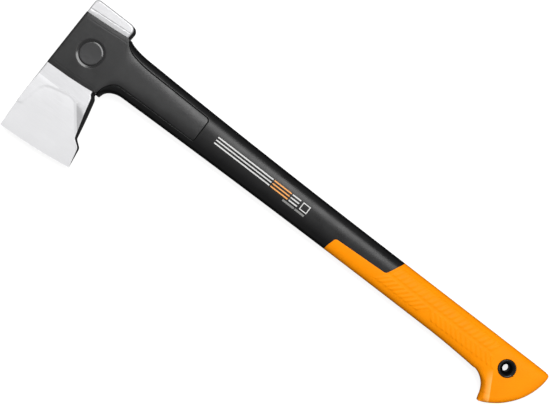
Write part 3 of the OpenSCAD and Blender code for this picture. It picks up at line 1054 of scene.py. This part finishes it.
def steel(name, light, dark, rough, hatch, relief, metallic=1.0, painted_edge_light=0.0):
    """Ground or forged steel. Hatch is the turn of its fine marks in degrees.

    The last argument is how much painted light lightens its colour down to the cutting edge.
    """
    f = Finish(name, Metallic=metallic)
    marks = f.noise(900, 4, 0.65, (0.06, 1.6, 0.6), hatch)
    fine = f.noise(2600, 2, 0.6, (0.05, 1.5, 0.5), hatch + 4)
    cloud = f.noise(38, 4, 0.6)
    pits = f.noise(420, 5, 0.7)
    tone = f.maths("ADD", f.ramp(marks, 0.3, 0.7, 0.0, 0.55), f.ramp(cloud, 0.3, 0.7, 0.0, 0.45))
    colour = f.blend(tone, dark, light)
    # Painted light: the colour is blended lighter down towards the cutting edge.
    if painted_edge_light:
        start = to_frame(np.array([0.0, GROUND_TOP, 0.0]))
        down = f.ramp(f.lean((0, -1), start), 0, GROUND_TOP - TOE[1], 0, painted_edge_light)
        colour = f.blend(down, colour, PAINTED_EDGE_LIGHT)
    spread = f.maths("ADD", f.ramp(marks, 0.3, 0.7, rough - 0.05, rough + 0.05),
                     f.ramp(cloud, 0.35, 0.7, -0.03, 0.05))
    low = f.bump(pits, relief * 0.00006)
    mid = f.bump(marks, relief * 0.00004, low)
    return f.set(Base_Color=colour, Roughness=spread, Normal=f.bump(fine, relief * 0.000015, mid))


def plastic(name, light, dark, rough, grain, relief, sheen_noise=60, **values):
    """Moulded plastic or rubber with a fine grain. Grain is in cycles to the metre."""
    f = Finish(name, **values)
    texture = f.noise(grain, 2, 0.5)
    cloud = f.noise(sheen_noise, 4, 0.6)
    colour = f.mottle(texture, cloud, light, dark)
    spread = f.maths("ADD", f.ramp(cloud, 0.3, 0.7, rough - 0.04, rough + 0.04),
                     f.ramp(texture, 0.3, 0.7, -0.02, 0.02))
    wave = f.bump(f.noise(90, 2, 0.5), relief * 0.00005)
    return f.set(Base_Color=colour, Roughness=spread, Normal=f.bump(texture, relief * 0.00004, wave))


def grip_rubber():
    """Orange rubber, matt along the grip and glossier on the hook's rib, where a painted highlight
    lightens its colour.
    """
    f = Finish("grip_rubber", Specular_IOR_Level=0.06)
    texture = f.noise(1700, 2, 0.5)
    cloud = f.noise(45, 4, 0.6)
    (ax, ay, _), (bx, by, _) = to_frame(np.array([(*p, 0.0) for p in HOOK_CREASE]))
    length = math.hypot(bx - ax, by - ay)
    inward = f.lean(((by - ay) / length, -(bx - ax) / length), (ax, ay))
    along = f.lean(((bx - ax) / length, (by - ay) / length), (ax, ay))
    # Mask along the rib, for its lower roughness and its painted highlight.
    rib = f.maths("MULTIPLY", f.ramp(inward, -0.2, 0.2, 0, 1), f.ramp(inward, 7, 1, 0, 1))
    rib = f.maths("MULTIPLY", rib, f.ramp(along, -8, 4, 0, 1))
    colour = f.mottle(texture, cloud, (0.95, 0.288, 0.0012), (0.87, 0.245, 0.0008))
    # Painted highlight: the colour is blended towards pale orange along the rib.
    colour = f.blend(f.maths("MULTIPLY", rib, 0.6), colour, (1.0, 0.50, 0.13))
    rough = f.maths("ADD", f.ramp(cloud, 0.3, 0.7, 0.41, 0.49), f.ramp(rib, 0, 1, 0, -0.15))
    wave = f.bump(f.noise(90, 2, 0.5), 0.00006)
    return f.set(Base_Color=colour, Roughness=rough, Normal=f.bump(texture, 0.00005, wave))


# The ground steel's last argument paints light onto it down to the cutting edge.
GROUND_STEEL = steel("ground_steel", (0.76, 0.76, 0.774), (0.67, 0.67, 0.682), 0.42, 62, 1.0, 0.2, 0.65)
CHEEK_STEEL = steel("cheek_steel", (0.63, 0.63, 0.642), (0.55, 0.55, 0.562), 0.42, 55, 1.2, 0.45)
POLL_STEEL = steel("poll_steel", (0.56, 0.56, 0.57), (0.49, 0.49, 0.50), 0.42, 55, 1.2, 0.45)
# Painted shade: the facet's steel is darker to stand in for the dim reflection on it.
SHADED_FACET_STEEL = steel("facet_steel_painted_shade", (0.60, 0.60, 0.61), (0.46, 0.46, 0.47), 0.4, 20, 1.0, 0.6)
FORGED_STEEL = steel("forged_steel", (0.10, 0.10, 0.105), (0.045, 0.045, 0.048), 0.5, 15, 3.0)
PIN_STEEL = steel("pin_steel", (0.60, 0.60, 0.62), (0.48, 0.48, 0.50), 0.32, 0, 0.8)
JACKET_PLASTIC = plastic("jacket_plastic", (0.009, 0.009, 0.0094), (0.005, 0.005, 0.0053), 0.33, 2600, 1.6,
                         Specular_IOR_Level=0.4)
RIM_PLASTIC = plastic("rim_plastic", (0.007, 0.007, 0.0074), (0.004, 0.004, 0.0043), 0.14, 2600, 0.4)
CAP_PLASTIC = plastic("cap_plastic", (0.016, 0.016, 0.017), (0.009, 0.009, 0.010), 0.33, 2200, 1.0)
SHAFT_PLASTIC = plastic("shaft_plastic", (0.006, 0.006, 0.0064), (0.003, 0.003, 0.0033), 0.30, 3000, 0.5,
                        Specular_IOR_Level=0.27)
CORE_PLASTIC = plastic("core_plastic", (0.024, 0.024, 0.026), (0.015, 0.015, 0.016), 0.5, 1800, 1.0)
BUSH_PLASTIC = plastic("bush_plastic", (0.004, 0.004, 0.0045), (0.002, 0.002, 0.0024), 0.18, 2500, 0.3,
                       Specular_IOR_Level=0.25)
GRIP_RUBBER = grip_rubber()
PRINTED_WHITE = plastic("printed_white", (0.66, 0.66, 0.65), (0.54, 0.54, 0.53), 0.5, 3200, 0.4)
PRINTED_ORANGE = plastic("printed_orange", (0.84, 0.36, 0.075), (0.72, 0.28, 0.05), 0.5, 3200, 0.4)
PRINTED_GREY = plastic("printed_grey", (0.22, 0.22, 0.21), (0.15, 0.15, 0.15), 0.5, 3200, 0.4)


# ---------------- build
add_piece("splitting_head", head_solid(),
          [GROUND_STEEL, FORGED_STEEL, SHADED_FACET_STEEL, CHEEK_STEEL, POLL_STEEL], "axe_head")
jacket = jacket_solid()
add_piece("cheek_jacket_upper", jacket, [JACKET_PLASTIC, RIM_PLASTIC], "jacket_left")
add_piece("cheek_jacket_lower", mirrored(jacket), [JACKET_PLASTIC, RIM_PLASTIC], "jacket_right")
disc = cap_solid()
add_piece("disc_cap_upper", disc, [CAP_PLASTIC, RIM_PLASTIC], "plug_cap_left")
add_piece("disc_cap_lower", mirrored(disc), [CAP_PLASTIC, RIM_PLASTIC], "plug_cap_right")
add_piece("hollow_shaft", shaft_solid(), [SHAFT_PLASTIC, PRINTED_WHITE, PRINTED_ORANGE, PRINTED_GREY],
          "shaft_shell")
add_piece("soft_grip", grip_solid(), [GRIP_RUBBER], "grip_sleeve")
add_piece("eyelet_bush", bush_solid(), [BUSH_PLASTIC], "lanyard_bush")
for node, finish in (("cross_pin", PIN_STEEL), ("butt_plug", CORE_PLASTIC)):
    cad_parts[node].data.materials.clear()
    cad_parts[node].data.materials.append(finish)


# ---------------- floor, light and camera
TURN = math.radians(37.65)         # how far the axe lies turned in the view
VIEW_X, VIEW_Y = 286.2, 0.0        # the view's middle, in the axe's plane
LOOK_AT = ((VIEW_X - LENGTH / 2) * MM, (VIEW_Y - (TOE[1] + POLL_Y) / 2) * MM)
CAMERA_DISTANCE = 1270.0           # from the mid-plane
VIEW_WIDTH = 593.8                 # millimetres of the mid-plane that the view spans
SENSOR = 36.0
NEAREST, FARTHEST = 0.05, 30.0     # metres
FLOOR_HALF, FLOOR_LINES, FLOOR_DROP = 6.0, 25, 0.0004  # the drop keeps it clear of the axe


def area_light(name, along, across, height, length, width, power):
    """A soft bar of light, long way along the axe, at a place beside the axe's middle."""
    lamp = bpy.data.lights.new(name, "AREA")
    lamp.shape = "RECTANGLE"
    lamp.size = length
    lamp.size_y = width
    lamp.energy = power
    holder = bpy.data.objects.new(name, lamp)
    back = Vector((along, across, height)).normalized()
    side = (Vector((1, 0, 0)) - back * back.x).normalized()
    turned = Matrix((side, back.cross(side), back)).transposed()
    place = Matrix.Translation((LOOK_AT[0] + along, LOOK_AT[1] + across, height))
    holder.matrix_world = place @ turned.to_4x4()
    bpy.context.scene.collection.objects.link(holder)


def floor_piece():
    mesh = bpy.data.meshes.new("floor")
    line = np.linspace(-FLOOR_HALF, FLOOR_HALF, FLOOR_LINES)
    points = [(x, y, -FLOOR_DROP) for y in line for x in line]
    mesh.from_pydata(points, [], grid(FLOOR_LINES, FLOOR_LINES))
    paper = plastic("floor_paper", (0.30, 0.30, 0.30), (0.28, 0.28, 0.28), 0.9, 600, 0.2, 3,
                    Emission_Color=(1, 1, 1, 1), Emission_Strength=0.84, Specular_IOR_Level=0.0)
    mesh.materials.append(paper)
    floor = bpy.data.objects.new("floor", mesh)
    bpy.context.scene.collection.objects.link(floor)
    floor.visible_diffuse = False
    floor.visible_glossy = False


def studio_world(strength, back, belly, dark_share, under_share):
    """A dome that is bright overhead and dark towards both sides of the axe and below the floor."""
    world = bpy.data.worlds.new("studio")
    world.use_nodes = True
    nodes = Nodes(world.node_tree)
    way = nodes.add("TexCoord", output="Generated")
    light = strength
    for axis, *span in (("Y", *back, 1.0, dark_share), ("Y", *belly, dark_share, 1.0),
                        ("Z", -0.05, 0.05, under_share, 1.0)):
        along = nodes.add("SeparateXYZ", {0: way}, axis)
        light = nodes.maths("MULTIPLY", light, nodes.ramp(along, *span, interpolation_type="SMOOTHSTEP"))
    background = nodes.tree.nodes["Background"]
    nodes.tree.links.new(light, background.inputs["Strength"])
    background.inputs["Color"].default_value = (1, 1, 1, 1)
    bpy.context.scene.world = world


floor_piece()
studio_world(0.75, (0.35, 0.7), (-0.7, -0.05), 0.4, 0.1)
area_light("window", -0.2, 0.86, 2.0, 1.5, 0.9, 34)
area_light("side", 1.4, 0.35, 2.0, 0.6, 0.6, 7)

camera = bpy.data.objects.new("camera", bpy.data.cameras.new("camera"))
camera.data.sensor_width = SENSOR
camera.data.lens = SENSOR * CAMERA_DISTANCE / VIEW_WIDTH
camera.data.clip_start = NEAREST
camera.data.clip_end = FARTHEST
camera.location = (*LOOK_AT, (CAMERA_DISTANCE + HALF_JACKET) * MM)
camera.rotation_euler = (0, 0, TURN)
bpy.context.scene.collection.objects.link(camera)
bpy.context.scene.camera = camera
bpy.context.scene.view_settings.view_transform = "Standard"
